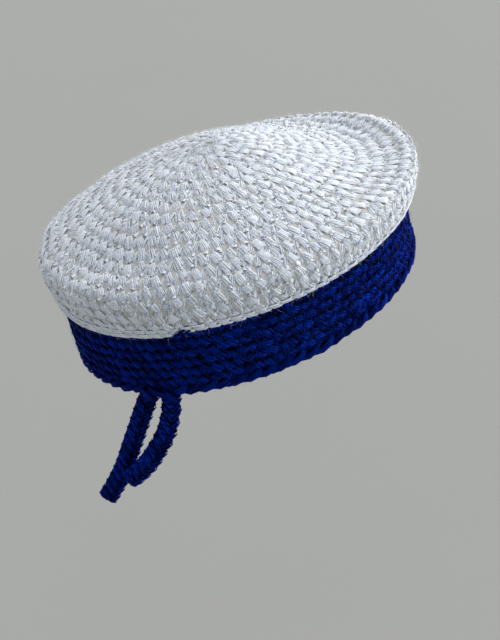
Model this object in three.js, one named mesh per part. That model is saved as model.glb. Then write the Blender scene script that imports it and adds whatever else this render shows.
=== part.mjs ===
// Crocheted sailor cap, in millimetres, +Z up.
// A soft white beret-like crown sits on an upright royal-blue head band, whose lower edge carries a
// thicker scalloped round of edging. Two crocheted straps hang from that edge at the back right.
//
// The frame is the wearer's upright head: -Y is the way the face looks, -X the wearer's right. The
// origin is the centre of the head opening, where the cap sits, pushed back so that its front is high.
// Crown, band and edging are drawn in the cap's own level frame and tipped together as one group; the
// straps hang plumb, so they are drawn in the wearer's frame.
//
// Azimuths turn about the cap's axis from the front: 0 is the front, 90 the wearer's left.
import * as THREE from 'three';

// Head band: an upright oval ring.
const BAND_HALF_WIDTH = 80.5; // outside, at the lower edge, side to side
const BAND_HALF_LENGTH = 101; // outside, at the lower edge, front to back
const BAND_HEIGHT = 40; // lower edge of the edging to the crown's joint
const BAND_FLARE = 0.7; // how much wider the ring is at its top
const BAND_WALL = 4.2;
const EDGE_FRONT_RISE = 1.6; // the lower edge isn't quite flat: higher in front than behind,
const EDGE_END_RISE = 1.0; // and higher at both ends than at the sides

// Edging: the thick last round.
const EDGING_HEIGHT = 6.6;
const EDGING_WALL = 6;
const EDGING_PROUD = 0.8; // stands out past the band
const EDGING_CORNER = 2.2;

// Crown: its widest line is the rim, an oval set a little forward and to the wearer's left.
const CROWN_WALL = 4.2;
const RIM_HALF_WIDTH = 94.5;
const RIM_HALF_LENGTH = 106.5;
const RIM_CENTRE = { x: 5, y: -4 };
const RIM_HEIGHT = 56.7; // over the band's lower edge
const RIM_WAVE = { front: -1, ends: 2, left: -3 }; // how the rim rises and dips round the cap
const RIM_ROUNDING = 11; // height of the puffy shoulder over the rim line
const RIM_FLATNESS = 8; // how far in the shoulder stays flat
const DOME_RISE = 21; // the head pushes the middle up
const DOME_CENTRE = { x: 14, y: -8 };
const SAG = { all: -4, front: -8, ends: -3, left: -2 }; // the top sinks between dome and rim

const GAP = 0.3; // between pieces that touch
const TIP_BACK = THREE.MathUtils.degToRad(15.8);
const TURN_STEPS = 64; // facets round the cap

// Straps: flat crochet, hanging from behind the edging.
const STRAP_WIDTH = 10.4;
const STRAP_THICKNESS = 4.4;
const STRAP_AZIMUTH = THREE.MathUtils.degToRad(227); // where they leave the band
const STRAP_FACING = THREE.MathUtils.degToRad(236); // where their flat faces look
const STRAP_STEPS = 22;
const STRAP_SECTION_SIDES = 12;

// Each strap's centre line, top to tip: mm towards the wearer's back, out from the head, and up,
// all from the band's lower edge.
const REAR_STRAP_ROUTE = [
  { back: 6.6, out: -9, up: 6 },
  { back: 8.3, out: -8.6, up: -3.7 },
  { back: 11.6, out: -5.6, up: -15 },
  { back: 15.4, out: -3.2, up: -28 },
  { back: 19.5, out: -2, up: -41 },
  { back: 23.2, out: -2, up: -52.3 },
  { back: 27.5, out: -2, up: -62.6 },
  { back: 33.2, out: -2, up: -74.2 },
  { back: 36, out: -2, up: -79.5 },
];
const FRONT_STRAP_ROUTE = [
  { back: -5.2, out: -9, up: 6 },
  { back: -3.6, out: -8.7, up: -2.7 },
  { back: -4.5, out: -5, up: -11.6 },
  { back: -3, out: -1.2, up: -22.6 },
  { back: 1.1, out: 2, up: -32.4 },
  { back: 6.8, out: 3.5, up: -42.8 },
  { back: 13.4, out: 4, up: -51.4 },
  { back: 19.5, out: 4, up: -57.6 },
];

const WHITE_YARN = { color: 0xf2f2f6, roughness: 0.95, metalness: 0 };
const BLUE_YARN = { color: 0x0a2a9c, roughness: 0.9, metalness: 0 };

function yarnMesh(name, geometry, finish) {
  const mesh = new THREE.Mesh(geometry, new THREE.MeshStandardMaterial(finish));
  mesh.name = name;
  return mesh;
}

// A point of the band's ring: inset from its outer face, at a height over its lower edge.
function bandPoint(azimuth, height, inset) {
  const share = height / BAND_HEIGHT;
  const edgeRise = EDGE_FRONT_RISE * Math.cos(azimuth) + EDGE_END_RISE * Math.cos(2 * azimuth);
  const outwards = BAND_FLARE * share - inset;
  return new THREE.Vector3(
    (BAND_HALF_WIDTH + outwards) * Math.sin(azimuth),
    -(BAND_HALF_LENGTH + outwards) * Math.cos(azimuth),
    height + edgeRise * (1 - share),
  );
}

function rimPoint(azimuth) {
  const wave = RIM_WAVE.front * Math.cos(azimuth)
    + RIM_WAVE.ends * Math.cos(2 * azimuth)
    + RIM_WAVE.left * Math.sin(azimuth);
  return new THREE.Vector3(
    RIM_CENTRE.x + RIM_HALF_WIDTH * Math.sin(azimuth),
    RIM_CENTRE.y - RIM_HALF_LENGTH * Math.cos(azimuth),
    RIM_HEIGHT + wave,
  );
}

// The crown's outer face over the rim: reach is 0 at the middle and 1 at the rim.
function crownTop(azimuth, reach) {
  const rim = rimPoint(azimuth);
  const sag = SAG.all + SAG.front * Math.cos(azimuth)
    + SAG.ends * Math.cos(2 * azimuth) + SAG.left * Math.sin(azimuth);
  const square = reach * reach;
  const shoulder = RIM_ROUNDING * Math.sqrt(Math.max(0, 1 - reach ** RIM_FLATNESS));
  const dome = DOME_RISE * Math.max(0, 1 - square) ** 1.5;
  return new THREE.Vector3(
    THREE.MathUtils.lerp(DOME_CENTRE.x, rim.x, reach),
    THREE.MathUtils.lerp(DOME_CENTRE.y, rim.y, reach),
    THREE.MathUtils.lerp(RIM_HEIGHT, rim.z, square) + shoulder + dome + 4 * sag * square * (1 - square),
  );
}

// The crown's outer face under the rim: turn is 0 at the rim and 1 where it meets the band.
function crownUnder(azimuth, turn) {
  const rim = rimPoint(azimuth);
  const joint = bandPoint(azimuth, BAND_HEIGHT, 0);
  const angle = turn * Math.PI / 2;
  return new THREE.Vector3(
    THREE.MathUtils.lerp(joint.x, rim.x, Math.cos(angle)),
    THREE.MathUtils.lerp(joint.y, rim.y, Math.cos(angle)),
    THREE.MathUtils.lerp(rim.z, BAND_HEIGHT + GAP, Math.sin(angle)),
  );
}

// The crown's whole outer face: way runs from 0 at the middle over the rim at 1 to the joint at 2.
function crownFace(azimuth, way) {
  return way <= 1 ? crownTop(azimuth, Math.sin(way * Math.PI / 2)) : crownUnder(azimuth, way - 1);
}

// The point of the crown's inner face behind a point of its outer face.
function crownLining(azimuth, way) {
  const step = 0.01;
  const from = THREE.MathUtils.clamp(way, 2 * step, 2 - step);
  const alongWay = crownFace(azimuth, from + step).sub(crownFace(azimuth, from - step));
  const round = crownFace(azimuth + step, from).sub(crownFace(azimuth - step, from));
  const outwards = alongWay.cross(round).normalize();
  return crownFace(azimuth, way).addScaledVector(outwards, -CROWN_WALL);
}

// A ring or shell turned about the axis, whose every vertex is then set to its place on the cap.
function turnedShell(rows, closed, place) {
  const profile = rows.map((row) => new THREE.Vector2(row.onAxis ? 0 : 1, 0));
  if (closed) profile.push(profile[0].clone());
  const geometry = new THREE.LatheGeometry(profile, TURN_STEPS);
  const position = geometry.getAttribute('position');
  for (let turn = 0; turn <= TURN_STEPS; turn += 1) {
    const azimuth = -(turn % TURN_STEPS) / TURN_STEPS * 2 * Math.PI;
    for (let index = 0; index < profile.length; index += 1) {
      const point = place(azimuth, rows[index % rows.length]);
      position.setXYZ(turn * profile.length + index, point.x, point.y, point.z);
    }
  }
  return geometry;
}

function crownGeometry() {
  const topRows = 17;
  const underRows = 6;
  const ways = [];
  for (let row = 1; row <= topRows; row += 1) ways.push(row / topRows);
  for (let row = 1; row <= underRows; row += 1) ways.push(1 + row / underRows);
  const outside = ways.map((way) => ({ face: crownFace, way }));
  const inside = ways.map((way) => ({ face: crownLining, way })).reverse();
  const lap = { lap: true }; // the end of the wall lies over the top of the band
  const middle = { onAxis: true, face: crownFace, way: 0 };
  const middleInside = { onAxis: true, face: () => crownFace(0, 0).setZ(crownFace(0, 0).z - CROWN_WALL) };
  return turnedShell([middle, ...outside, lap, ...inside.slice(1), middleInside], false, (azimuth, row) => (
    row.lap
      ? bandPoint(azimuth, BAND_HEIGHT, BAND_WALL).setZ(BAND_HEIGHT + GAP)
      : row.face(azimuth, row.way)
  ));
}

function bandGeometry() {
  const bottom = EDGING_HEIGHT + GAP;
  const rowCount = 4;
  const rows = [];
  for (let row = 0; row <= rowCount; row += 1) {
    rows.push({ height: THREE.MathUtils.lerp(BAND_HEIGHT, bottom, row / rowCount), inset: 0 });
  }
  for (let row = rowCount; row >= 0; row -= 1) {
    rows.push({ height: THREE.MathUtils.lerp(BAND_HEIGHT, bottom, row / rowCount), inset: BAND_WALL });
  }
  return turnedShell(rows, true, (azimuth, row) => bandPoint(azimuth, row.height, row.inset));
}

function edgingGeometry() {
  const inner = EDGING_WALL - EDGING_PROUD;
  const cut = EDGING_CORNER;
  const rows = [
    { height: EDGING_HEIGHT, inset: cut - EDGING_PROUD },
    { height: EDGING_HEIGHT - cut, inset: -EDGING_PROUD },
    { height: cut, inset: -EDGING_PROUD },
    { height: 0, inset: cut - EDGING_PROUD },
    { height: 0, inset: inner - cut },
    { height: cut, inset: inner },
    { height: EDGING_HEIGHT - cut, inset: inner },
    { height: EDGING_HEIGHT, inset: inner - cut },
  ];
  return turnedShell(rows, true, (azimuth, row) => bandPoint(azimuth, row.height, row.inset));
}

function strapSection() {
  const section = new THREE.Shape();
  const corner = STRAP_THICKNESS / 2;
  const straight = STRAP_WIDTH / 2 - corner;
  for (let side = 0; side < STRAP_SECTION_SIDES; side += 1) {
    const angle = (side + 0.5) / STRAP_SECTION_SIDES * 2 * Math.PI;
    const x = corner * Math.cos(angle);
    const y = corner * Math.sin(angle) + Math.sign(Math.sin(angle)) * straight;
    if (side === 0) section.moveTo(x, y);
    else section.lineTo(x, y);
  }
  section.closePath();
  return section;
}

function strapGeometry(route) {
  const points = route.map((point) => new THREE.Vector3(point.back, point.out, point.up));
  const centreLine = new THREE.CatmullRomCurve3(points, false, 'catmullrom', 0.5);
  return new THREE.ExtrudeGeometry(strapSection(), { steps: STRAP_STEPS, extrudePath: centreLine });
}

const crownBandAndEdging = new THREE.Group();
crownBandAndEdging.rotation.x = -TIP_BACK;
crownBandAndEdging.add(
  yarnMesh('crown', crownGeometry(), WHITE_YARN),
  yarnMesh('band', bandGeometry(), BLUE_YARN),
  yarnMesh('band_edging', edgingGeometry(), BLUE_YARN),
);

const straps = new THREE.Group();
straps.position.copy(bandPoint(STRAP_AZIMUTH, 0, 0)).applyAxisAngle(new THREE.Vector3(1, 0, 0), -TIP_BACK);
straps.rotation.z = STRAP_FACING - Math.PI;
straps.add(
  yarnMesh('tail_rear', strapGeometry(REAR_STRAP_ROUTE), BLUE_YARN),
  yarnMesh('tail_front', strapGeometry(FRONT_STRAP_ROUTE), BLUE_YARN),
);

const group = new THREE.Group();
group.add(crownBandAndEdging, straps);

export default group;
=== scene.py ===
"""Crocheted sailor cap: its yarn, stitch by stitch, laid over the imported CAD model.

Shapes are drawn in millimetres in the cap's own level frame, then tipped back and turned into
metres in the wearer's frame. Azimuths turn from the front (0) to the wearer's left (90 degrees).
"""

import math

import bmesh
import bpy
import numpy as np
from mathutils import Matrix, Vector


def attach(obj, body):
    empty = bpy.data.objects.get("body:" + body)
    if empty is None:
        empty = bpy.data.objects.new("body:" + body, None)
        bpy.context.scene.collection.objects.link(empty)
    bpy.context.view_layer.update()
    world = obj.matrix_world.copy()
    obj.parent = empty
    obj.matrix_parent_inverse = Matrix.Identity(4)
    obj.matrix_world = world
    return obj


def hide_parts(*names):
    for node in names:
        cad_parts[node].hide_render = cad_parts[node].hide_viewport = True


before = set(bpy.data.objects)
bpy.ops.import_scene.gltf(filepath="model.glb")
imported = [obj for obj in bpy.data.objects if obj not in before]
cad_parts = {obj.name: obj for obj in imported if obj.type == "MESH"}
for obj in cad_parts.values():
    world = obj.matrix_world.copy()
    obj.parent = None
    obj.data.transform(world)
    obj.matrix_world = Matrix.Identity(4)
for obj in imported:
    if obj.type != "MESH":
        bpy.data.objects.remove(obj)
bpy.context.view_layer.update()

MM = 0.001
FULL_TURN = 2 * math.pi
random = np.random.default_rng(7)

# Head band, as in the CAD part.
BAND_HALF_WIDTH = 80.5
BAND_HALF_LENGTH = 101.0
BAND_HEIGHT = 40.0
BAND_FLARE = 0.7
BAND_WALL = 4.2
BACK_TUCK = 4.0  # how far the yarn pulls in at the top of the band, behind
BACK_TUCK_AZIMUTH = math.radians(185)
EDGE_FRONT_RISE = 1.6
EDGE_END_RISE = 1.0
EDGING_HEIGHT = 6.6

# Crown, as in the CAD part.
CROWN_WALL = 4.2
RIM_HALF_WIDTH = 94.5
RIM_HALF_LENGTH = 107.7  # the yarn stands a little fuller than the CAD in front
RIM_CENTRE_X = 5.0
RIM_CENTRE_Y = -5.2
RIM_HEIGHT = 56.7
RIM_WAVE_FRONT = -1.0
RIM_WAVE_ENDS = 2.0
RIM_WAVE_LEFT = -3.0
RIM_ROUNDING = 11.0
RIM_FLATNESS = 8
DOME_RISE = 21.0
DOME_CENTRE_X = 14.0
DOME_CENTRE_Y = -8.0
SAG_ALL = -4.0
SAG_FRONT = -8.0
SAG_ENDS = -3.0
SAG_LEFT = -2.0
# Soft dents and swells of the yarn, in the hand of whoever wore it: azimuth in degrees, way down
# the crown, rise, and how far each spreads both ways.
CROWN_SWELLS = [
    (216, 0.60, -4.5, 24, 0.16),
    (150, 0.90, 2.2, 14, 0.12),
    (20, 0.80, 1.5, 20, 0.12),
]
# Where the rounds start and end: the last one drops behind it, and evens out round the back.
SEAM_AZIMUTH = 240
SEAM_DROP = -1.9
SEAM_DROP_START = 1.6  # the drop comes in from here down the crown
SEAM_DROP_REACH = 0.3
SEAM_FADE = 100

TIP_BACK = math.radians(15.8)

# Straps, as in the CAD part: each route runs (towards the back, out from the head, up).
STRAP_WIDTH = 10.4
STRAP_CORE_INSET = 0.3
STRAP_CORE_HALF_THICKNESS = 1.2
STRAP_CORE_ROUNDING = 0.7  # 1 is an oval core, and less is squarer
STRAP_OVERRUN = 0.8  # how far the last stitch runs past the centre line's end
STRAP_CLOSING = 2.6  # how far before that end the strap starts to close
STRAP_AZIMUTH = math.radians(227)
STRAP_FACING = math.radians(236)
REAR_STRAP_ROUTE = [
    (6.6, -9, 6),
    (8.3, -8.6, -3.7),
    (11.6, -5.6, -15),
    (15.4, -3.2, -28),
    (19.5, -2, -41),
    (23.2, -2, -52.3),
    (27.5, -2, -62.6),
    (33.2, -2, -74.2),
    (36, -2, -79.5),
]
FRONT_STRAP_ROUTE = [
    (-5.2, -9, 6),
    (-3.6, -8.7, -2.7),
    (-4.5, -5, -11.6),
    (-3, -1.2, -22.6),
    (1.1, 2, -32.4),
    (6.8, 3.5, -42.8),
    (13.4, 4, -51.4),
    (19.5, 4, -57.6),
]

# Crochet gauge.
CROWN_ROUNDS = 17
CROWN_TOP_ROUNDS = 9  # rounds of the first of the crown's three pieces
CROWN_RIM_ROUNDS = 4
CROWN_RING_SHARE = 0.03  # the starting ring's share of the way from middle to joint
CROWN_END_SHARE = 0.972
CROWN_BACKING_END = 0.995
CROWN_STITCH_WIDTH = 6.8
CROWN_ROUND_HEIGHT = 7.8
CROWN_PLY_RADIUS = 0.50
CROWN_TURNING = 0.12  # how far a stitch may be turned in its round, in radians
CROWN_PLIES = (5, 3, 0)  # of a stitch's long leg, short leg and cross bar
BAND_ROUNDS = 6
BAND_STITCH_WIDTH = 5.9
BAND_ROUND_HEIGHT = 5.7
BAND_PLY_RADIUS = 0.56
BAND_TURNING = 0.26
BAND_PLIES = (4, 2, 2)
BAND_BACKING_END = 0.985
EDGING_STITCH_WIDTH = 8.2
JOINT_STITCH_WIDTH = 6.4
JOINT_ROUNDS = [(0.958, -1.1), (0.978, -0.8), (0.998, -1.1)]  # share of the way down, and level
JOINT_PLIES = 4
JOINT_WIDTH = 3.2
STITCH_KINDS = 9
STITCH_SIZE_CHANGE = 0.12
STITCH_SHIFT = 0.07  # in stitches across and rounds down
STITCH_LIFT = 0.16
LOOP_KINDS = 5
LOOP_PLY_RADIUS = 0.5
LOOP_SIZE_CHANGE = 0.06
LOOP_LIFT = 0.12
LOOP_SHIFT = 0.25
EDGING_LEVEL = -1.3
STRAP_STITCH_KINDS = 5
STRAP_STITCH_LENGTH = 6.0
STRAP_STITCH_SHIFT = 0.03  # in stitches
STRAP_STITCH_STRETCH = 0.05
STRAP_LEG_PLIES = 4
STRAP_LEG_WIDTH = 5.4
STRAP_STEPS = 25  # points along a strap's centre line
STRAP_PLY_RADIUS = 0.54
YARN_PLIES = 3.0  # grooves in the surface of each ply
STRAND_STEPS = 33  # points along a strand's centre line
BUNDLE_STEPS = 9
BUNDLE_UNEVENNESS = 0.07  # of a ply's place across its bundle
PLY_UNEVENNESS = 0.1  # of its height in the bundle, and of its radius
PLY_FLATNESS = 0.9
PLY_END_SIZE = 0.55
DEEPEST = -2.2  # heights in a stitch that count as its deepest and highest yarn; lower yarn gets more painted shade
HIGHEST = 2.4
YARN_DEPTH = 2.1  # from a wall's face in to the middle of its stitches
BACKING_DEPTH = 1.7  # from a wall's face in to the matted yarn behind its stitches
BACKING_WALL = 0.8

# Floor, camera and lights.
FLOOR_HEIGHT = -0.5
CAMERA_AZIMUTH = math.radians(253.1)
CAMERA_ELEVATION = math.radians(31.2)
CAMERA_DISTANCE = 0.6
CAMERA_LENS = 60.92
CAMERA_AIM = Vector((-0.0254, 0.0059, -0.0028))
FLOOR_SIZE = 9
FLOOR_COLOUR = (0.302, 0.301, 0.279)
ROOM_COLOUR = (0.88, 0.93, 1.0, 1.0)
ROOM_LIGHT = 0.44
# Name, the side it comes from, spread in degrees, power and colour.
LIGHTS = [
    ("key", (0.40, -0.62, 1.0), 80, 2.4, (1.0, 0.99, 0.98)),
    ("fill", (-1.0, 0.3, 0.9), 60, 0.45, (0.84, 0.91, 1.0)),
    ("front", (-0.50, -1.3, 0.42), 55, 2.25, (0.92, 0.955, 1.0)),
]


# ---------------------------------------------------------------- the cap's surfaces


def stacked(x, y, z):
    return np.stack(np.broadcast_arrays(x, y, z), axis=-1)


def blend(start, end, share):
    return start + (end - start) * share


def band_point(azimuth, height, inset):
    """The band's ring, inset from its outer face, at a height over its lower edge."""
    share = height / BAND_HEIGHT
    rise = EDGE_FRONT_RISE * np.cos(azimuth) + EDGE_END_RISE * np.cos(2 * azimuth)
    tuck = BACK_TUCK * share**2 * np.maximum(0, np.cos(azimuth - BACK_TUCK_AZIMUTH)) ** 2
    out = BAND_FLARE * share - inset - tuck
    return stacked(
        (BAND_HALF_WIDTH + out) * np.sin(azimuth),
        -(BAND_HALF_LENGTH + out) * np.cos(azimuth),
        height + rise * (1 - share),
    )


def rim_point(azimuth):
    """The crown's widest line, which rises and dips round the cap."""
    wave = RIM_WAVE_FRONT * np.cos(azimuth)
    wave = wave + RIM_WAVE_ENDS * np.cos(2 * azimuth) + RIM_WAVE_LEFT * np.sin(azimuth)
    return stacked(
        RIM_CENTRE_X + RIM_HALF_WIDTH * np.sin(azimuth),
        RIM_CENTRE_Y - RIM_HALF_LENGTH * np.cos(azimuth),
        RIM_HEIGHT + wave,
    )


def crown_top(azimuth, reach):
    """The crown's outer face over the rim: reach is 0 at the middle and 1 at the rim."""
    rim = rim_point(azimuth)
    sag = SAG_ALL + SAG_FRONT * np.cos(azimuth)
    sag = sag + SAG_ENDS * np.cos(2 * azimuth) + SAG_LEFT * np.sin(azimuth)
    square = reach * reach
    shoulder = RIM_ROUNDING * np.sqrt(np.maximum(0, 1 - reach**RIM_FLATNESS))
    dome = DOME_RISE * np.maximum(0, 1 - square) ** 1.5
    hollow = 4 * sag * square * (1 - square)
    return stacked(
        blend(DOME_CENTRE_X, rim[..., 0], reach),
        blend(DOME_CENTRE_Y, rim[..., 1], reach),
        blend(RIM_HEIGHT, rim[..., 2], square) + shoulder + dome + hollow,
    )


def crown_under(azimuth, turn):
    """The crown's outer face under the rim: turn is 0 at the rim and 1 at the joint."""
    rim = rim_point(azimuth)
    joint = band_point(azimuth, BAND_HEIGHT, 0)
    angle = turn * math.pi / 2
    return stacked(
        blend(joint[..., 0], rim[..., 0], np.cos(angle)),
        blend(joint[..., 1], rim[..., 1], np.cos(angle)),
        blend(rim[..., 2], BAND_HEIGHT, np.sin(angle)),
    )


def crown_swell(azimuth, way):
    """How far the yarn's face stands over the CAD's: dents, swells and the last round's drop."""
    rise = 0
    for centre, middle, height, turn_spread, way_spread in CROWN_SWELLS:
        turn = np.degrees(np.angle(np.exp(1j * (azimuth - math.radians(centre)))))
        rise = rise + height * np.exp(-((turn / turn_spread) ** 2) - ((way - middle) / way_spread) ** 2)
    behind = np.mod(SEAM_AZIMUTH - np.degrees(azimuth), 360)
    drop = SEAM_DROP * np.exp(-((behind / SEAM_FADE) ** 2))
    return rise + drop * np.clip((way - SEAM_DROP_START) / SEAM_DROP_REACH, 0, 1)


def crown_face(azimuth, way):
    """The crown's outer face: way is 0 at the middle, 1 at the rim and 2 at the joint."""
    top = crown_top(azimuth, np.sin(np.minimum(way, 1) * math.pi / 2))
    under = crown_under(azimuth, np.maximum(way - 1, 0))
    face = np.where((way <= 1)[..., None], top, under)
    return face + stacked(0, 0, crown_swell(azimuth, way))


def band_face(azimuth, way):
    """The band's outer face: way is 0 at the joint and 1 at the lower edge."""
    return band_point(azimuth, BAND_HEIGHT * (1 - way), 0)


def tipped(points):
    """From the cap's level frame, in millimetres, to the wearer's frame, in metres."""
    cos, sin = math.cos(TIP_BACK), math.sin(TIP_BACK)
    x, y, z = points[..., 0], points[..., 1], points[..., 2]
    return stacked(x, y * cos + z * sin, z * cos - y * sin) * MM


def untipped(points):
    """From the wearer's frame back to the cap's level frame, both in millimetres."""
    cos, sin = math.cos(TIP_BACK), math.sin(TIP_BACK)
    x, y, z = points[..., 0], points[..., 1], points[..., 2]
    return stacked(x, y * cos - z * sin, z * cos + y * sin)


def unit(vectors):
    length = np.linalg.norm(vectors, axis=-1, keepdims=True)
    return vectors / np.maximum(length, 1e-9)


class Net:
    """A face of the cap as a fine net, evenly spaced from top to bottom at each azimuth."""

    TURNS = 256
    STEPS = 240
    END_SHARE = 0.02  # the stretch at each end that is carried on past it

    def __init__(self, face, ways):
        azimuths = np.linspace(0, FULL_TURN, self.TURNS, endpoint=False)
        way = np.linspace(0, ways, 6 * self.STEPS)
        raw = face(azimuths[:, None], way[None, :])
        gaps = np.linalg.norm(np.diff(raw, axis=1), axis=-1)
        shares = np.linspace(0, 1, self.STEPS)
        self.points = np.empty((self.TURNS, self.STEPS, 3))
        for turn in range(self.TURNS):
            length = np.concatenate([[0], np.cumsum(gaps[turn])])
            for axis in range(3):
                place = np.interp(shares * length[-1], length, raw[turn, :, axis])
                self.points[turn, :, axis] = place
        self.length = float(np.median(gaps.sum(axis=1)))
        down = np.gradient(self.points, axis=1)
        around = np.roll(self.points, -1, axis=0) - np.roll(self.points, 1, axis=0)
        self.outward = unit(np.cross(down, around))
        if np.ptp(self.points[:, 0], axis=0).max() < 1:
            self.outward[:, 0] = unit(self.outward[:, 1].mean(axis=0))

    def read(self, grid, azimuth, share):
        turn = np.mod(azimuth / FULL_TURN, 1) * self.TURNS
        step = np.clip(share, 0, 1) * (self.STEPS - 1)
        left = np.floor(turn).astype(int) % self.TURNS
        right = (left + 1) % self.TURNS
        over = np.minimum(np.floor(step).astype(int), self.STEPS - 2)
        across = (turn - np.floor(turn))[..., None]
        down = (step - over)[..., None]
        upper = blend(grid[left, over], grid[right, over], across)
        lower = blend(grid[left, over + 1], grid[right, over + 1], across)
        return blend(upper, lower, down)

    def at(self, azimuth, share, height):
        """Places over the face; a share past an end runs straight on."""
        point = self.read(self.points, azimuth, share)
        outward = unit(self.read(self.outward, azimuth, share))
        beyond = share - np.clip(share, 0, 1)
        if np.any(beyond):
            end = np.where(beyond > 0, 1.0, self.END_SHARE)
            start = end - self.END_SHARE
            slope = self.read(self.points, azimuth, end) - self.read(self.points, azimuth, start)
            point = point + slope * (beyond / self.END_SHARE)[..., None]
        return point + outward * np.asarray(height)[..., None]

    def round_azimuths(self, share):
        """A table of azimuths at even spacing round the face, and the distance round."""
        azimuths = np.linspace(0, FULL_TURN, 721)
        ring = self.at(azimuths, np.full(len(azimuths), share), np.zeros(len(azimuths)))
        length = np.concatenate([[0], np.cumsum(np.linalg.norm(np.diff(ring, axis=0), axis=-1))])
        return azimuths, length / length[-1], length[-1]


crown_net = Net(crown_face, 2)
band_net = Net(band_face, 1)


# ---------------------------------------------------------------- yarn


def smooth_route(points, count):
    """A smooth curve through the points, at even spacing."""
    points = np.asarray(points, float)
    before = 2 * points[0] - points[1]
    after = 2 * points[-1] - points[-2]
    knots = np.vstack([before, points, after])
    share = np.linspace(0, 1, 24, endpoint=False)[:, None]
    curve = []
    for index in range(1, len(knots) - 2):
        a, b, c, d = knots[index - 1 : index + 3]
        cubic = 2 * b + (c - a) * share + (2 * a - 5 * b + 4 * c - d) * share**2
        cubic = cubic + (3 * b - a - 3 * c + d) * share**3
        curve.append(cubic / 2)
    curve = np.vstack(curve + [points[-1:]])
    length = np.concatenate([[0], np.cumsum(np.linalg.norm(np.diff(curve, axis=0), axis=-1))])
    even = np.linspace(0, length[-1], count)
    return stacked(*(np.interp(even, length, curve[:, axis]) for axis in range(3)))


def open_tube(sides, rings):
    """An open tube, one unit in length and radius, with rings of points along it."""
    bpy.ops.object.select_all(action="DESELECT")
    bpy.ops.mesh.primitive_cylinder_add(
        vertices=sides, radius=1, depth=1, end_fill_type="NOTHING", location=(0, 0, 0)
    )
    tube = bpy.context.object
    bpy.ops.object.mode_set(mode="EDIT")
    bpy.ops.mesh.select_mode(type="EDGE")
    bpy.ops.mesh.select_all(action="DESELECT")
    shape = bmesh.from_edit_mesh(tube.data)
    for edge in shape.edges:
        if abs(edge.verts[0].co.z - edge.verts[1].co.z) > 0.5:
            edge.select = True
    bmesh.update_edit_mesh(tube.data)
    bpy.ops.mesh.subdivide(number_cuts=rings - 2)
    bpy.ops.object.mode_set(mode="OBJECT")
    mesh = tube.data
    points = np.array([vertex.co for vertex in mesh.vertices])
    points[:, 2] += 0.5
    faces = np.array([face.vertices for face in mesh.polygons])
    yarn_map = np.array([loop.uv for loop in mesh.uv_layers.active.data])
    yarn_map[:, 1] = points[faces.ravel(), 2]
    bpy.data.objects.remove(tube)
    return points, faces, yarn_map.reshape(len(faces), 4, 2)


PLY_TUBE = open_tube(5, 4)
THIN_TUBE = open_tube(5, 5)
STRAP_TUBE = open_tube(5, 8)


def crest_angle(tube):
    """Where round the strand map the top of a laid strand comes, as an angle."""
    points, faces, yarn_map = tube
    corners = points[faces.ravel(), 1]
    top = yarn_map.reshape(-1, 2)[corners < corners.min() + 0.01, 0]
    return float(np.angle(np.exp(1j * FULL_TURN * top).mean()))


CREST_ANGLE = crest_angle(PLY_TUBE)


def strand(route, radius, tube=PLY_TUBE, flatness=PLY_FLATNESS):
    """A length of yarn laid along a short route, thinner at its ends, with its crest outwards."""
    points, faces, yarn_map = tube
    share = points[:, 2]
    line = smooth_route(route, STRAND_STEPS)
    place = np.linspace(0, 1, STRAND_STEPS)
    centre = stacked(*(np.interp(share, place, line[:, axis]) for axis in range(3)))
    slope = np.gradient(line, axis=0)
    along = unit(stacked(*(np.interp(share, place, slope[:, axis]) for axis in range(3))))
    up = np.array([0.0, 0.0, 1.0])
    over = unit(up - along * along[:, 2:3])
    side = np.cross(along, over)
    ends = np.abs(2 * share - 1) ** 3
    size = (radius * (1 - (1 - PLY_END_SIZE) * ends))[:, None]
    shaped = centre + size * (points[:, 0:1] * side - flatness * points[:, 1:2] * over)
    length = np.linalg.norm(np.diff(line, axis=0), axis=-1).sum()
    laid_map = yarn_map.copy()
    laid_map[..., 1] *= length / (FULL_TURN * radius)
    laid_map[..., 1] += random.uniform(0, 5)
    return shaped, faces, laid_map


def bundle(route, plies, width, radius, gather=0.5, round_over=0.5, tube=PLY_TUBE, side=None):
    """Plies side by side along one route, gathered closer together where it starts."""
    line = smooth_route(route, BUNDLE_STEPS)
    if side is None:
        side = unit(np.cross(unit(np.gradient(line, axis=0)), np.array([0.0, 0.0, 1.0])))
    spread = np.linspace(gather, 1, BUNDLE_STEPS)[:, None]
    strands = []
    for number in range(plies):
        place = 2 * (number + 0.5) / plies - 1
        offset = (place + random.normal(0, BUNDLE_UNEVENNESS)) * width / 2
        sink = -round_over * place**2 + random.normal(0, PLY_UNEVENNESS)
        ply = line + side * offset * spread + np.array([0, 0, sink])
        size = radius * random.uniform(1 - PLY_UNEVENNESS, 1 + PLY_UNEVENNESS)
        strands.append(strand(ply, size, tube))
    return strands


def joined(parts):
    """Several strands as one stitch: points, faces and yarn map."""
    points, faces, maps, start = [], [], [], 0
    for part_points, part_faces, part_map in parts:
        points.append(part_points)
        faces.append(part_faces + start)
        maps.append(part_map)
        start += len(part_points)
    return np.vstack(points), np.vstack(faces), np.concatenate(maps)


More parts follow.
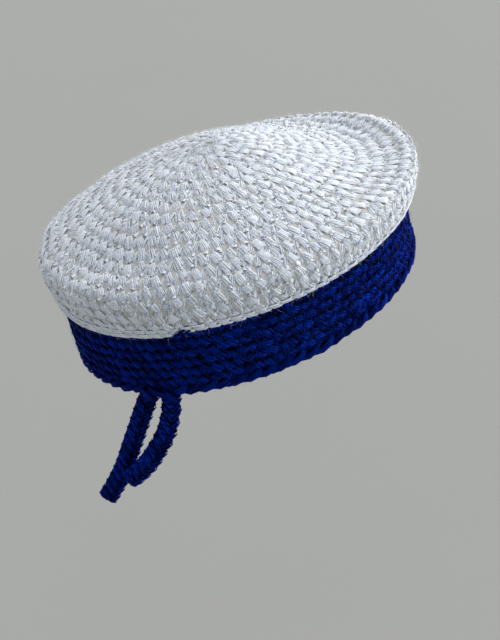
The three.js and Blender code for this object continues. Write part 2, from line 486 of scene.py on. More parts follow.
# A crochet stitch from top to bottom: across in stitches, up in rounds, out in millimetres.
# The crown's soft yarn stands up in short tufts; the band's lies flatter and longer.
CROWN_LEGS = (
    np.array([
        (-0.20, 0.60, -1.0), (-0.09, 0.47, 0.7), (0.13, 0.15, 1.7),
        (0.37, -0.24, 1.0), (0.52, -0.61, -0.8),
    ]),
    np.array([
        (0.01, 0.53, -1.0), (-0.15, 0.33, 0.5), (-0.30, 0.03, 1.1),
        (-0.38, -0.30, 0.4), (-0.41, -0.61, -1.0),
    ]),
)
BAND_LEGS = (
    np.array([
        (-0.30, 0.58, -0.9), (-0.14, 0.46, 0.7), (0.14, 0.14, 1.5),
        (0.42, -0.28, 0.9), (0.62, -0.66, -0.6),
    ]),
    np.array([
        (0.02, 0.56, -0.8), (-0.16, 0.34, 0.5), (-0.32, 0.02, 1.0),
        (-0.42, -0.32, 0.5), (-0.46, -0.66, -0.8),
    ]),
)
CROSS_BAR = np.array([(-0.56, -0.44, -0.9), (-0.22, -0.36, 0.1), (0.12, -0.40, 0.3), (0.50, -0.52, -0.8)])

# Routes of loops and knots: along the round, up and out, in millimetres.
JOINT_ROUTE = [(-5.2, -0.9, -0.9), (-2.8, 0.0, 0.8), (0.0, 0.4, 1.5), (2.8, 0.2, 0.9), (5.2, 0.8, -0.9)]
EDGING_ROUTE = [(-7.0, -1.9, -1.2), (-4.0, -1.6, 0.5), (0.0, -0.4, 1.4), (4.0, 1.4, 1.0), (6.6, 2.6, -0.8)]
UNDER_EDGING_ROUTE = [
    (-6.6, -0.3, -3.4), (-3.0, -1.4, -2.6), (0.4, -1.9, -1.6), (3.8, -1.9, -0.7), (6.6, -1.4, -0.4),
]
OVER_JOINT_ROUTE = [(-1.6, -3.0, 0.0), (-0.6, 0.0, 1.6), (0.4, 2.2, 2.4), (1.8, 3.0, 1.2), (3.0, 1.0, 0.0)]
ACROSS_STRAPS_ROUTE = [
    (-6.4, 3.0, -0.6), (-3.0, 1.8, 1.4), (0.0, 0.2, 2.0), (3.2, -1.0, 1.6), (6.0, -3.4, 0.2),
]
DOWN_STRAP_ROUTE = [
    (-3.6, 2.6, 0.2), (-1.4, 1.8, 1.6), (0.0, -0.4, 2.2), (0.6, -3.2, 1.4), (0.8, -6.0, -0.4),
]

# The edging's loops in front and under: route, plies and width.
EDGING_LAYERS = [(EDGING_ROUTE, 5, 4.2), (UNDER_EDGING_ROUTE, 4, 3.2)]

# Knots: turn past the seam or the straps, share of the way down the face, route, plies and width.
SEAM_KNOTS = [
    (0.02, 0.976, OVER_JOINT_ROUTE, 3, 2.6),
    (0.05, 0.984, OVER_JOINT_ROUTE, 3, 2.6),
]
STRAP_KNOTS = [
    (0.02, 0.93, ACROSS_STRAPS_ROUTE, 4, 4.0),
    (-0.06, 0.95, DOWN_STRAP_ROUTE, 4, 4.2),
    (0.08, 0.96, DOWN_STRAP_ROUTE, 4, 4.2),
]


def plied_stitch(legs, width, height, plies, ply_radius):
    """A stitch of fine plies: two legs fanning from one top, and any bar that crosses below them."""
    size = np.array([width, height, 1])
    wobble = np.array([0.22, 0.22, 0.12])
    long_leg = legs[0] * size + random.normal(size=3) * wobble
    short_leg = legs[1] * size + random.normal(size=3) * wobble
    strands = bundle(long_leg, plies[0], 0.80 * width, ply_radius, 0.6)
    strands += bundle(short_leg, plies[1], 0.50 * width, ply_radius, 0.7)
    strands += bundle(CROSS_BAR * size, plies[2], 0.34 * height, ply_radius, 1.0)
    return joined(strands)


def plain_stitch(legs, width, height):
    """The same stitch with one thick strand for each leg, for the inside."""
    size = np.array([width, height, 1])
    return joined([strand(leg * size, 0.25 * width, THIN_TUBE, 0.85) for leg in legs])


def new_piece(name, points, faces, material):
    """A smooth mesh of points in metres, as a named piece that rides with the cap."""
    mesh = bpy.data.meshes.new(name)
    mesh.from_pydata(points.tolist(), [], faces)
    mesh.polygons.foreach_set("use_smooth", np.ones(len(faces), bool))
    mesh.materials.append(material)
    piece = bpy.data.objects.new(name, mesh)
    bpy.context.scene.collection.objects.link(piece)
    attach(piece, "root")
    return piece


class Crochet:
    """Gathers laid stitches, and makes one piece of them."""

    def __init__(self):
        self.points = []
        self.faces = []
        self.maps = []
        self.shade_depths = []
        self.tones = []
        self.count = 0

    def add(self, points, faces, maps, shade_depths, tones):
        """Stitches in the cap's frame: points are (stitch, point, axis)."""
        stitches, size = points.shape[:2]
        starts = self.count + size * np.arange(stitches)
        self.points.append(tipped(points).reshape(-1, 3))
        self.faces.append((faces[None] + starts[:, None, None]).reshape(-1, 4))
        self.maps.append(np.tile(maps, (stitches, 1, 1)).reshape(-1, 2))
        self.shade_depths.append(np.broadcast_to(shade_depths, (stitches, size)).ravel())
        self.tones.append(np.broadcast_to(tones[:, None], (stitches, size)).ravel())
        self.count += stitches * size

    def round(self, net, variants, share, height, width, turning, start, wall=None):
        """Lays one round of stitches. With a wall, it is laid on the inner face instead."""
        azimuths, lengths, distance = net.round_azimuths(share)
        stitches = max(5, round(distance / width))
        inner = -1 if wall else 1
        chosen = random.integers(0, len(variants), stitches)
        size = 1 + random.uniform(-STITCH_SIZE_CHANGE, STITCH_SIZE_CHANGE, (stitches, 1))
        turn = random.uniform(-turning, turning, (stitches, 1))
        shift = random.normal(0, STITCH_SHIFT, (stitches, 2))
        lift = random.normal(0, STITCH_LIFT, (stitches, 1))
        tones = random.random(stitches)
        for variant, (points, faces, maps) in enumerate(variants):
            index = np.flatnonzero(chosen == variant)
            if not len(index):
                continue
            x = points[None, :, 0] * size[index]
            y = points[None, :, 1] * size[index]
            cos, sin = np.cos(turn[index]), np.sin(turn[index])
            across = (x * cos - y * sin) / width + shift[index, :1]
            up = (x * sin + y * cos) / height + shift[index, 1:]
            place = np.mod((index[:, None] + inner * across + start) / stitches, 1)
            azimuth = np.interp(place, lengths, azimuths)
            level = points[None, :, 2] + lift[index] - YARN_DEPTH
            if wall:
                level = -wall - level
            placed = net.at(azimuth, share - up * height / net.length, level)
            # How low each point lies in its stitch, for painted shade: lower yarn is painted darker.
            shade_depths = np.clip((points[:, 2] - DEEPEST) / (HIGHEST - DEEPEST), 0, 1)
            self.add(placed, faces, maps, shade_depths, tones[index])

    def piece(self, name, material, slot):
        """All the stitches as one piece, with its strand map, its tones, and how low each point lies in its
        stitch, which the yarn materials turn into painted shade.
        """
        piece = new_piece(name, np.vstack(self.points), np.vstack(self.faces).tolist(), material)
        layer = piece.data.uv_layers.new(name="strand")
        layer.data.foreach_set("uv", np.vstack(self.maps).ravel())
        for label, values in (("depth", self.shade_depths), ("tone", self.tones)):
            attribute = piece.data.attributes.new(label, "FLOAT", "POINT")
            attribute.data.foreach_set("value", np.concatenate(values))
        return piece


# ---------------------------------------------------------------- materials


def socket(group, label, way, kind="NodeSocketFloat", value=None):
    made = group.interface.new_socket(name=label, in_out=way, socket_type=kind)
    if value is not None:
        made.default_value = value


def add(tree, kind, inputs=None, **settings):
    """A node with its settings; inputs are values or other nodes' outputs."""
    node = tree.nodes.new(kind)
    for label, value in settings.items():
        setattr(node, label, value)
    for label, value in (inputs or {}).items():
        if isinstance(value, bpy.types.NodeSocket):
            tree.links.new(value, node.inputs[label])
        else:
            node.inputs[label].default_value = value
    return node


def maths(tree, operation, first, second=0.0, third=0.0):
    node = add(tree, "ShaderNodeMath", {0: first, 1: second, 2: third}, operation=operation)
    return node.outputs[0]


def shift_range(tree, value, low, high, new_low, new_high):
    inputs = {"Value": value, "From Min": low, "From Max": high, "To Min": new_low, "To Max": new_high}
    return add(tree, "ShaderNodeMapRange", inputs).outputs["Result"]


def plies_group():
    """Plied yarn from the strand map: relief of plies and fibres, and masks of grooves and crest, which the
    yarn materials use for painted shade and a painted glint.
    """
    group = bpy.data.node_groups.new("yarn_plies", "ShaderNodeTree")
    socket(group, "Plies", "INPUT", value=YARN_PLIES)
    socket(group, "Twist", "INPUT", value=0.8)
    socket(group, "Relief", "OUTPUT")
    socket(group, "Groove", "OUTPUT")
    socket(group, "Fibre", "OUTPUT")
    socket(group, "Crest", "OUTPUT")
    given = add(group, "NodeGroupInput")
    shown = add(group, "NodeGroupOutput")
    yarn_map = add(group, "ShaderNodeUVMap", uv_map="strand").outputs[0]
    split = add(group, "ShaderNodeSeparateXYZ", {0: yarn_map})
    place = add(group, "ShaderNodeTexCoord").outputs["Object"]
    wander = add(group, "ShaderNodeTexNoise", {"Vector": place, "Scale": 120.0, "Detail": 1.0})
    phase = maths(group, "MULTIPLY", split.outputs[0], given.outputs["Plies"])
    twist = maths(group, "MULTIPLY", split.outputs[1], given.outputs["Twist"])
    phase = maths(group, "ADD", phase, twist)
    phase = maths(group, "MULTIPLY_ADD", wander.outputs["Fac"], 1.6, phase)
    wave = maths(group, "SINE", maths(group, "MULTIPLY", phase, math.pi))
    ply = maths(group, "POWER", maths(group, "ABSOLUTE", wave), 0.8)
    fibre_x = maths(group, "MULTIPLY", phase, 1.6)
    fibre_y = maths(group, "MULTIPLY", split.outputs[1], 0.5)
    fibre_z = maths(group, "MULTIPLY", wander.outputs["Fac"], 3.0)
    lines = add(group, "ShaderNodeCombineXYZ", {0: fibre_x, 1: fibre_y, 2: fibre_z}).outputs[0]
    fibre = add(group, "ShaderNodeTexNoise", {"Vector": lines, "Scale": 1.0, "Detail": 2.0}).outputs["Fac"]
    relief = maths(group, "MULTIPLY_ADD", fibre, 0.4, ply)
    groove = shift_range(group, ply, 0.1, 0.75, 1.0, 0.0)
    around = maths(group, "MULTIPLY_ADD", split.outputs[0], FULL_TURN, -CREST_ANGLE)
    group.links.new(maths(group, "COSINE", around), shown.inputs["Crest"])
    group.links.new(relief, shown.inputs["Relief"])
    group.links.new(groove, shown.inputs["Groove"])
    group.links.new(fibre, shown.inputs["Fibre"])
    return group


def tone_group():
    """Small changes of yarn from stitch to stitch and over the whole cap."""
    group = bpy.data.node_groups.new("yarn_tone", "ShaderNodeTree")
    socket(group, "Patch size", "INPUT", value=40.0)
    socket(group, "Tone", "OUTPUT")
    given = add(group, "NodeGroupInput")
    shown = add(group, "NodeGroupOutput")
    place = add(group, "ShaderNodeTexCoord").outputs["Object"]
    inputs = {"Vector": place, "Scale": given.outputs["Patch size"], "Detail": 2.0}
    patches = add(group, "ShaderNodeTexNoise", inputs).outputs["Fac"]
    stitch = add(group, "ShaderNodeAttribute", attribute_name="tone").outputs["Fac"]
    both = maths(group, "MULTIPLY_ADD", stitch, 0.5, maths(group, "MULTIPLY", patches, 0.5))
    group.links.new(both, shown.inputs["Tone"])
    return group


PLIES = plies_group()
TONE = tone_group()


def colour_mix(tree, factor, first, second):
    """A mix of two colours, each a value or another node's output."""
    node = add(tree, "ShaderNodeMix", {"Factor": factor}, data_type="RGBA", clamp_factor=True)
    for index, value in ((6, first), (7, second)):
        if isinstance(value, bpy.types.NodeSocket):
            tree.links.new(value, node.inputs[index])
        else:
            node.inputs[index].default_value = (*value, 1.0)
    return node.outputs[2]


def yarn_material(
    name, painted_shade_colour, shade, light, sheen, lustre, scatter, gloss_tint, ply_relief, roughness,
    groove_painted_shade, flank_painted_shade, flank_range
):
    """Yarn with painted shade: darker in its grooves, on its flanks and down between stitches. Where the
    flanks darken nearly to the shade colour, the thin bright crest left on each ply is a painted glint.
    """
    material = bpy.data.materials.new(name)
    material.use_nodes = True
    tree = material.node_tree
    surface = tree.nodes["Principled BSDF"]
    twist = add(tree, "ShaderNodeGroup", node_tree=PLIES)
    tone = add(tree, "ShaderNodeGroup", node_tree=TONE)
    depth = add(tree, "ShaderNodeAttribute", attribute_name="depth").outputs["Fac"]
    # painted shade down between stitches: yarn lying lower in a stitch takes more of the shade colour
    height = shift_range(tree, depth, 0.1, 0.62, 0.0, 1.0)
    lit = colour_mix(tree, tone.outputs["Tone"], shade, light)
    # painted shade in the grooves between plies
    groove_shaded = colour_mix(tree, maths(tree, "MULTIPLY", twist.outputs["Groove"], groove_painted_shade), lit, painted_shade_colour)
    # painted shade on each ply's flanks, leaving its crest lit; a narrow lit range makes the crest a
    # painted glint
    flank_shade_mask = shift_range(tree, twist.outputs["Crest"], *flank_range, flank_painted_shade, 0.0)
    colour = colour_mix(tree, height, painted_shade_colour, colour_mix(tree, flank_shade_mask, groove_shaded, painted_shade_colour))
    tree.links.new(colour, surface.inputs["Base Color"])
    rough = shift_range(tree, twist.outputs["Fibre"], 0.3, 0.7, roughness - 0.1, roughness + 0.1)
    tree.links.new(rough, surface.inputs["Roughness"])
    inputs = {"Height": twist.outputs["Relief"], "Strength": 1.0, "Distance": ply_relief}
    bump = add(tree, "ShaderNodeBump", inputs)
    tree.links.new(bump.outputs["Normal"], surface.inputs["Normal"])
    surface.inputs["Sheen Weight"].default_value = sheen
    surface.inputs["Sheen Roughness"].default_value = 0.5
    surface.inputs["Sheen Tint"].default_value = (0.85, 0.9, 1.0, 1.0)
    surface.inputs["Metallic"].default_value = lustre
    surface.inputs["Subsurface Weight"].default_value = scatter
    surface.inputs["Subsurface Radius"].default_value = (1.0, 0.9, 0.75)
    surface.inputs["Subsurface Scale"].default_value = 0.0018
    surface.inputs["Specular IOR Level"].default_value = 0.4
    surface.inputs["Specular Tint"].default_value = (*gloss_tint, 1.0)
    return material


def felted_material(name, dark, light):
    """The matted yarn that shows between stitches, in colours passed in much darker than the yarn's own:
    painted shade for the gaps.
    """
    material = bpy.data.materials.new(name)
    material.use_nodes = True
    tree = material.node_tree
    surface = tree.nodes["Principled BSDF"]
    place = add(tree, "ShaderNodeTexCoord").outputs["Object"]
    inputs = {"Vector": place, "Scale": 900.0, "Detail": 4.0}
    matted = add(tree, "ShaderNodeTexNoise", inputs).outputs["Fac"]
    tree.links.new(colour_mix(tree, matted, dark, light), surface.inputs["Base Color"])
    bump = add(tree, "ShaderNodeBump", {"Height": matted, "Strength": 1.0, "Distance": 0.0006})
    tree.links.new(bump.outputs["Normal"], surface.inputs["Normal"])
    surface.inputs["Roughness"].default_value = 0.95
    surface.inputs["Specular IOR Level"].default_value = 0.1
    return material


def plain_material(name, colour, roughness, scale, change):
    """A plain finish with faint, even unevenness."""
    material = bpy.data.materials.new(name)
    material.use_nodes = True
    tree = material.node_tree
    surface = tree.nodes["Principled BSDF"]
    place = add(tree, "ShaderNodeTexCoord").outputs["Object"]
    grain = add(tree, "ShaderNodeTexNoise", {"Vector": place, "Scale": scale, "Detail": 3.0}).outputs["Fac"]
    darker = tuple(channel * (1 - change) for channel in colour)
    tree.links.new(colour_mix(tree, grain, darker, colour), surface.inputs["Base Color"])
    surface.inputs["Roughness"].default_value = roughness
    return material


# The first colour of each yarn is its painted shade colour, for grooves, flanks and the low parts of
# stitches.
WHITE = yarn_material(
    "white_yarn_plied",
    painted_shade_colour=(0.80, 0.80, 0.79),
    shade=(0.83, 0.87, 0.95),
    light=(0.885, 0.92, 0.99),
    sheen=0.3,
    lustre=0.0,
    scatter=1.0,
    gloss_tint=(1.0, 1.0, 1.0),
    ply_relief=0.00015,
    roughness=0.8,
    groove_painted_shade=0.2,
    flank_painted_shade=0.2,
    flank_range=(-0.15, 0.85),
)
# The blue's flanks take nearly all the painted shade, so its narrow lit crest is a painted glint along each
# ply.
BLUE = yarn_material(
    "blue_yarn_plied",
    painted_shade_colour=(0.0, 0.0001, 0.004),
    shade=(0.0002, 0.0025, 0.035),
    light=(0.0013, 0.034, 0.44),
    sheen=0.0,
    lustre=0.8,
    scatter=0.0,
    gloss_tint=(0.05, 0.3, 1.0),
    ply_relief=0.00025,
    roughness=0.27,
    groove_painted_shade=0.5,
    flank_painted_shade=0.97,
    flank_range=(0.35, 0.95),
)
# Matted yarn behind the stitches, painted far darker than the yarns themselves: painted shade for the gaps
# between stitches.
WHITE_MATTED_PAINTED_SHADE = felted_material("white_yarn_matted_painted_shade", (0.46, 0.45, 0.42), (0.60, 0.59, 0.56))
BLUE_MATTED_PAINTED_SHADE = felted_material("blue_yarn_matted_painted_shade", (0.0, 0.001, 0.015), (0.0002, 0.004, 0.05))
WHITE_FUZZ = plain_material("white_yarn_fuzz", (0.90, 0.93, 0.98), 0.8, 300.0, 0.1)
BLUE_FUZZ = plain_material("blue_yarn_fuzz", (0.004, 0.03, 0.4), 0.6, 300.0, 0.3)


# ---------------------------------------------------------------- floor, camera and lights


def make_camera():
    back = Vector((
        math.sin(CAMERA_AZIMUTH) * math.cos(CAMERA_ELEVATION),
        -math.cos(CAMERA_AZIMUTH) * math.cos(CAMERA_ELEVATION),
        math.sin(CAMERA_ELEVATION),
    ))
    data = bpy.data.cameras.new("camera")
    data.lens = CAMERA_LENS
    data.sensor_width = 36
    camera = bpy.data.objects.new("camera", data)
    bpy.context.scene.collection.objects.link(camera)
    camera.location = CAMERA_AIM + back * CAMERA_DISTANCE
    camera.rotation_mode = "QUATERNION"
    camera.rotation_quaternion = (-back).to_track_quat("-Z", "Y")
    bpy.context.scene.camera = camera


def make_sun(name, place, spread, power, colour):
    """Even studio light from a direction, softened by its spread in degrees."""
    data = bpy.data.lights.new(name, "SUN")
    data.angle = math.radians(spread)
    data.energy = power
    data.color = colour
    lamp = bpy.data.objects.new(name, data)
    bpy.context.scene.collection.objects.link(lamp)
    lamp.location = place
    lamp.rotation_mode = "QUATERNION"
    lamp.rotation_quaternion = (-Vector(place)).to_track_quat("-Z", "Y")


def make_stage():
    bpy.ops.object.select_all(action="DESELECT")
    bpy.ops.mesh.primitive_plane_add(size=FLOOR_SIZE, location=(0, 0, FLOOR_HEIGHT))
    floor = bpy.context.object
    floor.name = "floor"
    bpy.ops.object.transform_apply(location=True, rotation=True, scale=True)
    floor.data.materials.append(plain_material("floor_paint", FLOOR_COLOUR, 0.9, 3.0, 0.03))
    for light in LIGHTS:
        make_sun(*light)
    world = bpy.data.worlds.new("soft_room")
    world.use_nodes = True
    room = world.node_tree.nodes["Background"]
    room.inputs["Color"].default_value = ROOM_COLOUR
    room.inputs["Strength"].default_value = ROOM_LIGHT
    bpy.context.scene.world = world
    bpy.context.scene.view_settings.view_transform = "Standard"


# ---------------------------------------------------------------- straps


def strap_frame():
    """Where the straps leave the band, and their directions: back, out and up, as rows."""
    origin = tipped(band_point(np.array(STRAP_AZIMUTH), 0.0, 0.0)) / MM
    turn = STRAP_FACING - math.pi
    back = (math.cos(turn), math.sin(turn), 0)
    out = (-math.sin(turn), math.cos(turn), 0)
    return origin, np.array([back, out, (0, 0, 1)])


def make_strap(name, node, route):
    """A flat strap along its route: rows of V stitches on both faces, round a core."""
    origin, directions = strap_frame()
    line = smooth_route(np.array(route, float) @ directions + origin, STRAP_STEPS)
    length = float(np.linalg.norm(np.diff(line, axis=0), axis=-1).sum())
    strap = Crochet()
    along = unit(np.gradient(line, axis=0))
    thick = unit(np.cross(along, directions[0]))
    wide = unit(np.cross(thick, along))

    def placed(points, start):
        """Points of a stitch (across, along, through) at a distance down the strap."""
        wanted = np.clip(start + points[..., 1], 0, length + STRAP_OVERRUN)
        reached = np.minimum(wanted, length)
        closing = np.clip((wanted - length + STRAP_CLOSING) / (STRAP_CLOSING + STRAP_OVERRUN), 0, 1)
        full = np.sqrt(1 - closing**3)[..., None]
        distance = reached / length * (len(line) - 1)
        low = np.minimum(np.floor(distance).astype(int), len(line) - 2)
        share = (distance - low)[..., None]
        centre = blend(line[low], line[low + 1], share) + along[low] * (wanted - reached)[..., None]
        width_way = blend(wide[low], wide[low + 1], share)
        thick_way = blend(thick[low], thick[low + 1], share)
        return centre + full * (width_way * points[..., 0:1] + thick_way * points[..., 2:3])

    stitches = round(length / STRAP_STITCH_LENGTH)
    for front in (1, -1):
        legs = [strap_stitch(front) for _ in range(STRAP_STITCH_KINDS)]
        for number in range(-1, stitches + 1):
            shaped, faces, maps = legs[random.integers(0, len(legs))]
            start = (number + random.normal(0, STRAP_STITCH_SHIFT)) * length / stitches
            stretch = random.uniform(1 - STRAP_STITCH_STRETCH, 1 + STRAP_STITCH_STRETCH)
            shaped = shaped * np.array([1, stretch, 1])
            # Painted shade: yarn lying closer in to the core is painted darker.
            shade_depths = np.clip((np.abs(shaped[:, 2]) + np.abs(shaped[:, 0]) * 0.25 - 0.4) / 2.6, 0, 1)
            points = placed(shaped, start)[None]
            strap.add(untipped(points), faces, maps, shade_depths, random.random(1))
    core_shape, core_faces, core_map = strap_core(length)
    core = placed(core_shape, 0.0)[None]
    # The core gets no height at all, so it takes the full shade colour: painted shade in the gaps between
    # the strap's stitches.
    strap.add(untipped(core), core_faces, core_map, np.zeros(len(core_shape)), np.array([0.5]))
    piece = strap.piece(name, BLUE, "blue_yarn")
    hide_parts(node)


def strap_stitch(front):
    """A V of (across, along, through): a long leg from one edge and a short one from the other."""
    long_leg = [
        (-5.5, -1.4, -0.5), (-5.1, -0.8, 0.6), (-3.6, 0.4, 1.3),
        (-1.2, 2.2, 1.7), (1.4, 4.2, 1.5), (2.9, 5.3, 0.4),
    ]
    short_leg = [
        (5.8, -1.2, -0.5), (5.5, -0.3, 0.6), (4.9, 1.2, 1.2),
        (4.1, 2.7, 1.4), (3.2, 4.2, 1.1), (2.5, 5.2, 0.3),
    ]
    if front < 0:
        long_leg, short_leg = [[(-x, y, z) for x, y, z in leg] for leg in (long_leg, short_leg)]
    along = np.array([0.0, 1.0, 0.0])
    strands = bundle(
        long_leg, STRAP_LEG_PLIES, STRAP_LEG_WIDTH, STRAP_PLY_RADIUS, 1.0, 0.3, STRAP_TUBE, along
    )
    for place in (-1, 0, 1):  # three plies along the strap, the outer two curled in from its edge
        curled = [(x - math.copysign(0.9 * abs(place), x), y + 1.45 * place, z) for x, y, z in short_leg]
        strands.append(strand(curled, STRAP_PLY_RADIUS + 0.02, STRAP_TUBE))
    points, faces, maps = joined(strands)
    if front < 0:
        points = points * np.array([1, 1, -1])
        faces = faces[:, ::-1]
        maps = maps[:, ::-1]
    return points, faces, maps


def strap_core(length):
    """The flat yarn inside a strap, as a tube in (across, along, through)."""
    points, faces, yarn_map = open_tube(10, 40)
    share = points[:, 2]
    ends = np.sqrt(np.clip(1 - np.abs(2 * share - 1) ** 24, 0.0004, 1))
    square = np.sign(points) * np.abs(points) ** STRAP_CORE_ROUNDING
    across = square[:, 0] * (STRAP_WIDTH / 2 - STRAP_CORE_INSET) * ends
    through = -square[:, 1] * STRAP_CORE_HALF_THICKNESS * ends
    laid_map = yarn_map.copy()
    laid_map[..., 1] *= length / 10
    shaped = stacked(across, share * length, through)
    return shaped, faces[:, ::-1], laid_map[:, ::-1]


# ---------------------------------------------------------------- crown


def make_crown():
    size = CROWN_STITCH_WIDTH, CROWN_ROUND_HEIGHT
    yarn = CROWN_PLIES, CROWN_PLY_RADIUS
    stitches = [plied_stitch(CROWN_LEGS, *size, *yarn) for _ in range(STITCH_KINDS)]
    plain = [plain_stitch(CROWN_LEGS, *size)]
    top, rim, under, inside = Crochet(), Crochet(), Crochet(), Crochet()
    start = 0.0
    for number in range(CROWN_ROUNDS):
        share = blend(CROWN_RING_SHARE, CROWN_END_SHARE, (number + 0.5) / CROWN_ROUNDS)
        start += random.uniform(0.2, 0.45)
        gathered = top if number < CROWN_TOP_ROUNDS else rim
        if number >= CROWN_TOP_ROUNDS + CROWN_RIM_ROUNDS:
            gathered = under
        laid = share, CROWN_ROUND_HEIGHT, CROWN_STITCH_WIDTH, CROWN_TURNING, start
        gathered.round(crown_net, stitches, *laid)
        inside.round(crown_net, plain, *laid, CROWN_WALL)
    top.piece("crown_top_rounds", WHITE, "white_yarn")
    rim.piece("crown_rim_rounds", WHITE, "white_yarn")
    under.piece("crown_under_rounds", WHITE, "white_yarn")
    inside.piece("crown_inner_rounds", WHITE, "white_yarn")


def lay_loops(gathered, net, share, pitch, route, plies, width, level):
    """Lays one round of long loops along a face: route is (along, up, out) in millimetres."""
    azimuths, lengths, distance = net.round_azimuths(share)
    stitches = round(distance / pitch)
    loops = [joined(bundle(route, plies, width, LOOP_PLY_RADIUS, 0.8)) for _ in range(LOOP_KINDS)]
    chosen = random.integers(0, len(loops), stitches)
    for variant, (points, faces, maps) in enumerate(loops):
        index = np.flatnonzero(chosen == variant)
        size = 1 + random.uniform(-LOOP_SIZE_CHANGE, LOOP_SIZE_CHANGE, (len(index), 1))
        turn = np.mod((index[:, None] + points[None, :, 0] * size / pitch) / stitches, 1)
        azimuth = np.interp(turn, lengths, azimuths)
        out = points[None, :, 2] + random.normal(0, LOOP_LIFT, (len(index), 1)) + level
        up = points[None, :, 1] * size + random.normal(0, LOOP_SHIFT, (len(index), 1))
        placed = net.at(azimuth, share - up / net.length, out)
        # Painted shade: yarn nearer the loop's low middle is painted darker.
        shade_depths = np.clip((np.hypot(points[:, 2] + 1.4, points[:, 1]) + 0.2) / 3.6, 0, 1)
        gathered.add(placed, faces, maps, shade_depths, random.random(len(index)))


def make_joint():
    """The crown's last round: lumpy strands that lie along the top of the band."""
    joint = Crochet()
    for share, level in JOINT_ROUNDS:
        lay_loops(
            joint, crown_net, share, JOINT_STITCH_WIDTH, JOINT_ROUTE, JOINT_PLIES, JOINT_WIDTH, level
        )
    joint.piece("crown_joint_round", WHITE, "white_yarn")


def lay_knot(gathered, net, azimuth, share, route, plies, width):
    """Lays one bundle on a face, at an azimuth and a share of its height."""
    points, faces, maps = joined(bundle(route, plies, width, BAND_PLY_RADIUS, 0.8))
    radius = np.hypot(*net.at(np.array(azimuth), np.array(share), 0)[:2])
    places = np.stack([azimuth + points[:, 0] / radius, share - points[:, 1] / net.length], axis=1)
    placed = net.at(places[:, 0], places[:, 1], points[:, 2])
    gathered.add(placed[None], faces, maps, np.full(len(points), 0.7), random.random(1))


def make_knots():
    """Blue yarn over the end of the rounds, and where the straps are worked into the edge."""
    knots = Crochet()
    seam = math.radians(SEAM_AZIMUTH)
    for turn, *knot in SEAM_KNOTS:
        lay_knot(knots, crown_net, seam + turn, *knot)
    for turn, *knot in STRAP_KNOTS:
        lay_knot(knots, band_net, STRAP_AZIMUTH + turn, *knot)
    knots.piece("band_knots", BLUE, "blue_yarn")


def make_backing(name, net, bottom, material, slot, *nodes):
    """The matted wall behind the stitches: a thin closed shell in the middle of the CAD wall."""
    turns, steps = 128, 48
    azimuth = np.arange(turns)[:, None] * FULL_TURN / turns
    share = np.linspace(0, bottom, steps)[None, :]
    azimuth, share = np.broadcast_arrays(azimuth, share)
    outer = net.at(azimuth, share, np.full(azimuth.shape, -BACKING_DEPTH))
    inner = net.at(azimuth, share, np.full(azimuth.shape, -BACKING_DEPTH - BACKING_WALL))
    points = np.concatenate([outer, inner[:, ::-1]], axis=1)
    loop = 2 * steps
    faces = []
    for turn in range(turns):
        after = (turn + 1) % turns
        for step in range(loop):
            below = (step + 1) % loop
            here, beside = turn * loop, after * loop
            faces.append((here + step, here + below, beside + below, beside + step))
    wall = new_piece(name, tipped(points).reshape(-1, 3), faces, material)
    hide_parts(*nodes)


# ---------------------------------------------------------------- band


def make_band():
    size = BAND_STITCH_WIDTH, BAND_ROUND_HEIGHT
    yarn = BAND_PLIES, BAND_PLY_RADIUS
    stitches = [plied_stitch(BAND_LEGS, *size, *yarn) for _ in range(STITCH_KINDS)]
    plain = [plain_stitch(BAND_LEGS, *size)]
    outside, inside = Crochet(), Crochet()
    bottom = 1 - 0.8 * EDGING_HEIGHT / BAND_HEIGHT
    start = 0.0
    for number in range(BAND_ROUNDS):
        share = (number + 0.5) / BAND_ROUNDS * bottom
        start += random.uniform(0.3, 0.6)
        laid = share, BAND_ROUND_HEIGHT, BAND_STITCH_WIDTH, BAND_TURNING, start
        outside.round(band_net, stitches, *laid)
        inside.round(band_net, plain, *laid, BAND_WALL)
    outside.piece("band_rounds", BLUE, "blue_yarn")
    inside.piece("band_inner_rounds", BLUE, "blue_yarn")


def make_edging():
    """The last round: long slanting loops along the lower edge, each a shallow scallop."""
    edging = Crochet()
    share = 1 - EDGING_HEIGHT / 2 / BAND_HEIGHT
    for route, plies, width in EDGING_LAYERS:
        lay_loops(edging, band_net, share, EDGING_STITCH_WIDTH, route, plies, width, EDGING_LEVEL)
    edging.piece("edging_round", BLUE, "blue_yarn")


# ---------------------------------------------------------------- fuzz


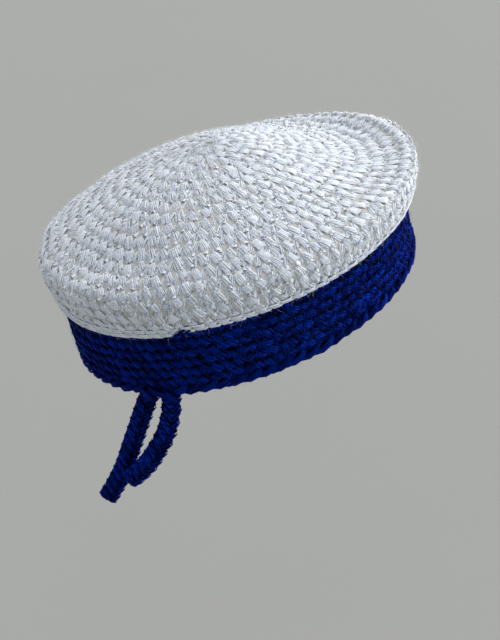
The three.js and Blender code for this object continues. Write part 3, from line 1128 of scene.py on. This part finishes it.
def make_fuzz(name, material, net, shares, count, height, reach, thickness):
    """Loose fibres that stand off the yarn, each a thin curved spike of three-cornered rings."""
    sides = 3
    rings = np.linspace(0, 1, 3)
    corners = np.arange(sides) * FULL_TURN / sides
    azimuth = random.uniform(0, FULL_TURN, count)
    share = random.uniform(*shares, count)
    root = net.at(azimuth, share, random.uniform(-1.2, 0.4, count))
    outward = unit(net.read(net.outward, azimuth, share))
    heading = unit(random.normal(size=(count, 3)))
    heading = unit(heading - outward * (heading * outward).sum(axis=1, keepdims=True))
    lengths = reach * random.uniform(0.4, 1.3, (count, 1))
    rise = height * random.uniform(0.2, 1.6, (count, 1))
    bend = unit(np.cross(heading, outward)) * random.normal(0, 0.35, (count, 1)) * lengths
    line = []
    for ring in rings:
        climb = math.sin(ring * math.pi * 0.62)  # up, and a little down again at the tip
        line.append(root + heading * lengths * ring + outward * rise * climb + bend * ring**2)
    line = np.stack(line, axis=1)
    side = unit(np.cross(heading, outward))
    width = thickness * (1 - 0.7 * rings)
    around = side[:, None, None] * np.cos(corners)[None, None, :, None]
    around = around + outward[:, None, None] * np.sin(corners)[None, None, :, None]
    points = line[:, :, None] + around * width[None, :, None, None]
    size = sides * len(rings)
    spike = []
    for low in range(0, size - sides, sides):
        for corner in range(sides):
            after = (corner + 1) % sides
            high = low + sides
            spike.append((low + corner, low + after, high + after, high + corner))
    starts = size * np.arange(count)[:, None, None]
    quads = (np.array(spike)[None] + starts).reshape(-1, 4).tolist()
    ends = [(2, 1, 0), (size - 3, size - 2, size - 1)]
    caps = (np.array(ends)[None] + starts).reshape(-1, 3).tolist()
    new_piece(name, tipped(points).reshape(-1, 3), quads + caps, material)


# ---------------------------------------------------------------- the cap

make_camera()
make_strap("rear_tail", "tail_rear", REAR_STRAP_ROUTE)
make_strap("front_tail", "tail_front", FRONT_STRAP_ROUTE)
make_stage()
# The backings show between stitches in the dark matted colours: painted shade in the gaps.
make_backing("crown_backing", crown_net, CROWN_BACKING_END, WHITE_MATTED_PAINTED_SHADE, "white_yarn", "crown")
make_backing("band_backing", band_net, BAND_BACKING_END, BLUE_MATTED_PAINTED_SHADE, "blue_yarn", "band", "band_edging")
make_crown()
make_joint()
make_band()
make_edging()
make_knots()
make_fuzz(
    "crown_fuzz", WHITE_FUZZ, crown_net, shares=(0.02, 0.97),
    count=9000, height=0.9, reach=3.2, thickness=0.036,
)
make_fuzz(
    "joint_fuzz", WHITE_FUZZ, band_net, shares=(-0.05, 0.035),
    count=1800, height=1.0, reach=3.8, thickness=0.036,
)
make_fuzz(
    "band_fuzz", BLUE_FUZZ, band_net, shares=(0.0, 1.0),
    count=1500, height=0.8, reach=3.5, thickness=0.05,
)
